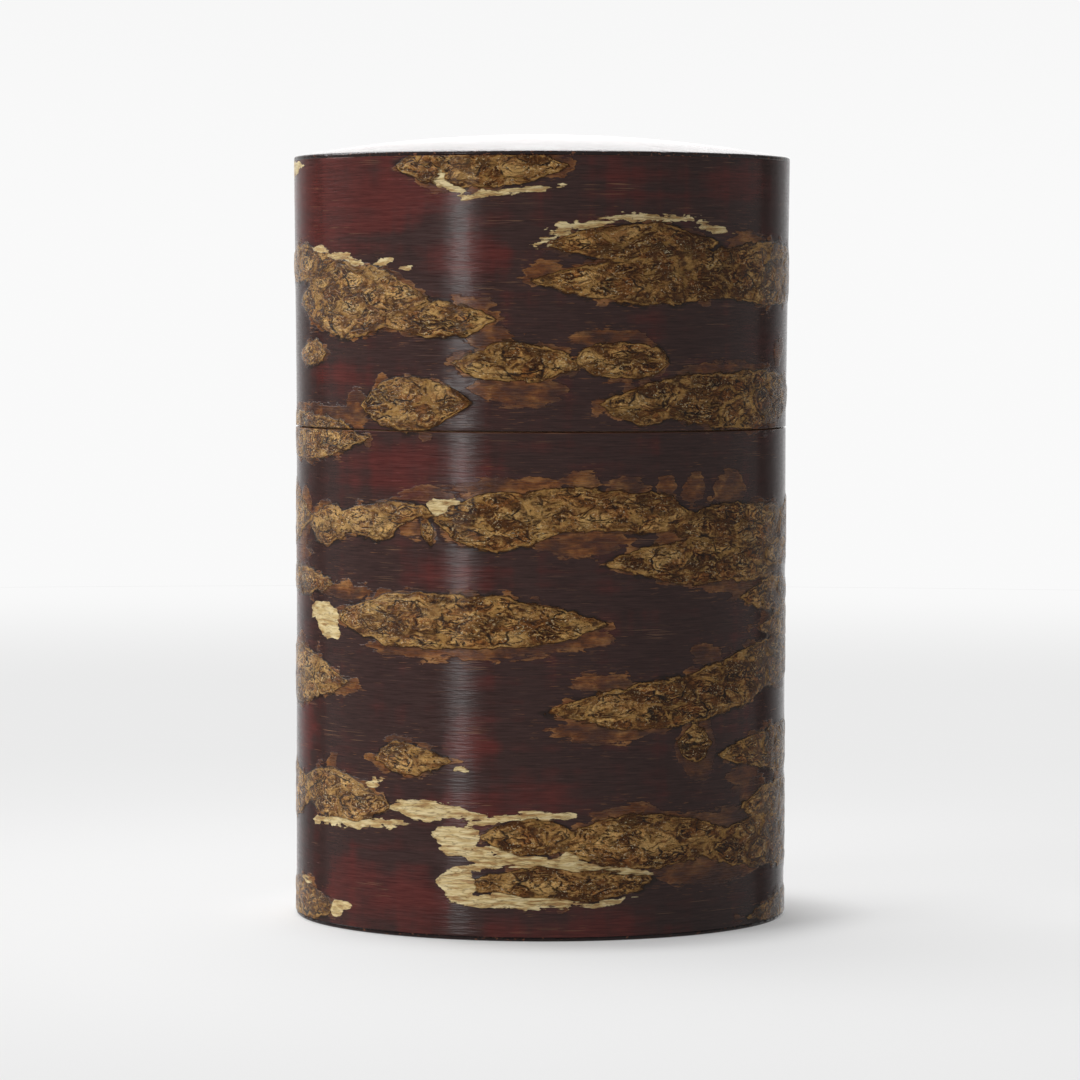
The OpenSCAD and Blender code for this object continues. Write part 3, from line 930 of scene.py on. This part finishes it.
def build_inside():
    """The smooth barks inside the caddy, and the knob."""
    lining, neck = smooth_bark("lining_bark", 0.55), smooth_bark("neck_bark", 0.75)
    lid_top = float(dome_z(LINING_R, END_T))
    skins = [
        ("body", neck, "sleeve_bark",
         band("neck_skin", SLEEVE_R, SLEEVE_CORE_R, FLOOR_Z, MOUTH_Z, 180, top=EDGE)),
        ("body", lining, "sleeve_lining",
         band("neck_lining", SLEEVE_LINING_R, MOUTH_R, FLOOR_Z, MOUTH_Z, 165)),
        ("body", lining, "body_lining", band("tube_lining", LINING_R, BORE_R, LINING_FOOT_Z, CUT_Z, 150)),
        ("lid", lining, "lid_lining", band("lid_tube_lining", LINING_R, BORE_R, CUT_Z, lid_top, 150)),
        ("body", lining, "floor_bark", disc("floor_skin", MOUTH_R, FLOOR_Z, FLOOR_BARK_Z)),
        ("lid", lining, "ceiling_bark", disc("ceiling_skin", BORE_R, CEILING_LOW_Z, CEILING_Z)),
        ("stopper", neck, "stopper_top_bark", disc("stopper_top_skin", FLANGE_R, FLANGE_TOP_Z, KNOB_Z)),
        ("stopper", neck, "stopper_rim_band",
         band("stopper_rim_skin", RIM_BAND_R, FLANGE_R, MOUTH_Z, KNOB_Z, 180, top=EDGE)),
        ("stopper", neck, "stopper_plug_band",
         band("stopper_plug_skin", PLUG_BAND_R, PLUG_R, PLUG_FOOT_Z, MOUTH_Z, 180, foot=EDGE)),
        ("stopper", lining, "stopper_under_bark",
         disc("stopper_under_skin", PLUG_R, UNDER_LOW_Z, PLUG_FOOT_Z)),
    ]
    for body, material, node, piece in skins:
        dress(piece, body, "smooth_bark", material, node)
    dress(knob(), "stopper", "knob_wood", knob_wood(), "stopper_knob")
    dress(knob_cap(), "stopper", "smooth_bark", neck, "stopper_knob_bark")


def finish_cad_nodes():
    """Wood for the CAD pieces that stay: the veneer plies, the sleeve's core and the plates."""
    outer = veneer("veneer", (0.56, 0.38, 0.21), (0.4, 0.25, 0.12))
    inner = veneer("veneer_inner", (0.48, 0.31, 0.16), (0.34, 0.2, 0.1))
    plate = plate_wood()
    woods = {
        "body_outer_ply": outer, "lid_outer_ply": outer, "sleeve_core": outer,
        "body_inner_ply": inner, "lid_inner_ply": inner,
        "base_plate": plate, "crown_plate": plate, "stopper_plate": plate,
    }
    for node, material in woods.items():
        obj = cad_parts[node]
        obj.data.materials.clear()
        obj.data.materials.append(material)


# ---- stage, lights and camera

FLOOR_FLAT_R, WALL_R, WALL_TOP_Z = 0.88, 1.5, 2.4


def glow(name, strength):
    """A plain light-giving material. strength is the name of a vertex attribute."""
    t = Tree(name)
    shader = t.add("Emission", Strength=t.attribute(strength))
    t.add("OutputMaterial", Surface=shader.outputs[0])
    return t.material


def stage_paper():
    """Matt white paper mixed with a glow: beside the caddy the glow lightens the shadows as painted light,
    and away from the caddy the paper is all evenly glowing.
    """
    t = Tree("stage_paper")
    matt = t.add("BsdfDiffuse", Color=(0.82, 0.82, 0.82))
    even = t.add("Emission", Strength=t.attribute("pale"))
    mix = t.add("MixShader", Fac=t.attribute("far"))
    t.feed(mix.inputs[1], matt.outputs[0])
    t.feed(mix.inputs[2], even.outputs[0])
    t.add("OutputMaterial", Surface=mix.outputs[0])
    return t.material


def add_stage():
    """A pale floor, and a seamless cove round it, beyond every camera."""
    outline = evenly((0, 0), (0.12, 0), 30) + evenly((0.14, 0), (FLOOR_FLAT_R, 0), 36)
    floor = turned("floor", outline, STAGE_COLUMNS)
    floor.location.z = -0.05 * MM
    radius = radii(floor)
    # far is the glow's share: a third at the caddy's foot, lightening its shadows as painted light, and all
    # glow far off. pale is the glow's strength, a little higher round the caddy than just beyond it, as a
    # painted pool of light.
    far = 0.34 + 0.38 * smooth(radius, 0.039, 0.054) + 0.28 * smooth(radius, 0.07, 0.3)
    pale = 0.88 - 0.055 * smooth(radius, 0.06, 0.2) + 0.125 * smooth(radius, 0.45, FLOOR_FLAT_R)
    store(floor, "far", far)
    store(floor, "pale", pale)
    floor.data.materials.append(stage_paper())
    floor.visible_glossy = False
    cove = WALL_R - FLOOR_FLAT_R
    turn = np.linspace(0, math.pi / 2, 24)
    outline = [(FLOOR_FLAT_R + cove * math.sin(a), cove * (1 - math.cos(a))) for a in turn]
    wall = turned("cove", outline + [(WALL_R, WALL_TOP_Z)], STAGE_COLUMNS, closed=False)
    height = np.array([v.co.z for v in wall.data.vertices])
    store(wall, "pale", 0.95 - 0.04 * smooth(height, 0.1, 0.35))
    wall.data.materials.append(glow("cove_paper", "pale"))
    wall.visible_glossy = False
    wall.visible_diffuse = False


CARD_STRIPS, CARD_R = 80, 1.2
LAMP_AIM = (0, 0, 0.06)


def add_card(name, azimuth, half, low, high, profile, foot=1.0):
    """An upright white card that only gloss sees.

    profile gives its strength at degrees from its middle, and foot the share of it left at the lower edge.
    """
    degrees = np.linspace(-half, half, CARD_STRIPS + 1)
    points = [
        (CARD_R * math.sin(a), -CARD_R * math.cos(a), z)
        for a in np.radians(azimuth + degrees) for z in (low, high)
    ]
    faces = [(2 * k, 2 * k + 1, 2 * k + 3, 2 * k + 2) for k in range(CARD_STRIPS)]
    card = make_object(name, points, faces)
    store(card, "white", np.outer(profile(degrees), (foot, 1)))
    card.data.materials.append(glow(name + "_white", "white"))
    card.visible_camera = False
    card.visible_diffuse = False
    card.visible_shadow = False


def hump(width):
    """A bell curve of that width, in degrees."""
    return lambda degrees: np.exp(-((degrees / width) ** 2))


def add_cards():
    """A card behind the caddy that lights its dome, and one at the left that makes the streak."""
    add_card("back_card", 180, 60, -0.3, 0.75, lambda d: 1.08 * hump(30)(d) + 1.06 * hump(8)(d))
    add_card("streak_card", -37, 16, -0.2, 0.24, lambda d: 10 * hump(3.7)(d), foot=0.03)


def add_light(name, azimuth, distance, height, width, tall, power):
    """A soft box at an azimuth from the camera's side, positive to the right, facing the caddy."""
    data = bpy.data.lights.new(name, "AREA")
    data.shape = "RECTANGLE"
    data.size, data.size_y, data.energy = width, tall, power
    light = bpy.data.objects.new(name, data)
    a = math.radians(azimuth)
    light.location = (distance * math.sin(a), -distance * math.cos(a), height)
    light.rotation_euler = (Vector(LAMP_AIM) - light.location).to_track_quat("-Z", "Y").to_euler()
    light.visible_camera = False
    bpy.context.scene.collection.objects.link(light)
    return light


def add_world():
    """Pale to the camera, dimmer to gloss and nearly dark to matt surfaces, which the lamps light."""
    world = bpy.data.worlds.new("studio")
    world.use_nodes = True
    nodes, links = world.node_tree.nodes, world.node_tree.links
    nodes.clear()
    ray = nodes.new("ShaderNodeLightPath")
    seen = None
    for output_name, strength in ((None, 0.1), ("Is Glossy Ray", 0.3), ("Is Camera Ray", 0.93)):
        background = nodes.new("ShaderNodeBackground")
        background.inputs["Strength"].default_value = strength
        if seen is None:
            seen = background.outputs[0]
            continue
        mix = nodes.new("ShaderNodeMixShader")
        links.new(ray.outputs[output_name], mix.inputs[0])
        links.new(seen, mix.inputs[1])
        links.new(background.outputs[0], mix.inputs[2])
        seen = mix.outputs[0]
    links.new(seen, nodes.new("ShaderNodeOutputWorld").inputs[0])
    bpy.context.scene.world = world


def add_lights():
    add_light("front_left", -54, 1.3, 0.55, 0.6, 0.9, 13.2).visible_glossy = False
    add_light("left", -120, 1.2, 0.75, 0.8, 0.8, 6.0)
    add_light("overhead", -155, 0.7, 1.45, 1.2, 1.2, 24.0)


# The camera fitted to the photo's edges: lens and sensor in millimetres, and angles in degrees.
CAMERA_LENS, CAMERA_SENSOR = 164.9, 36
CAMERA_PLACE = (-0.00015, -0.7598, 0.0936)
CAMERA_DOWN, CAMERA_ROLL = 2.74, 0.15


def add_camera():
    data = bpy.data.cameras.new("camera")
    data.lens = CAMERA_LENS
    data.sensor_width = CAMERA_SENSOR
    camera = bpy.data.objects.new("camera", data)
    camera.location = CAMERA_PLACE
    tilt = Euler((math.radians(90 - CAMERA_DOWN), 0, 0)).to_matrix()
    roll = Euler((0, 0, math.radians(CAMERA_ROLL))).to_matrix()
    camera.rotation_euler = (tilt @ roll).to_euler()
    bpy.context.scene.collection.objects.link(camera)
    bpy.context.scene.camera = camera


build_outside()
build_inside()
finish_cad_nodes()
add_stage()
add_cards()
add_world()
add_lights()
add_camera()
bpy.context.scene.view_settings.view_transform = "Standard"

bpy.context.view_layer.update()
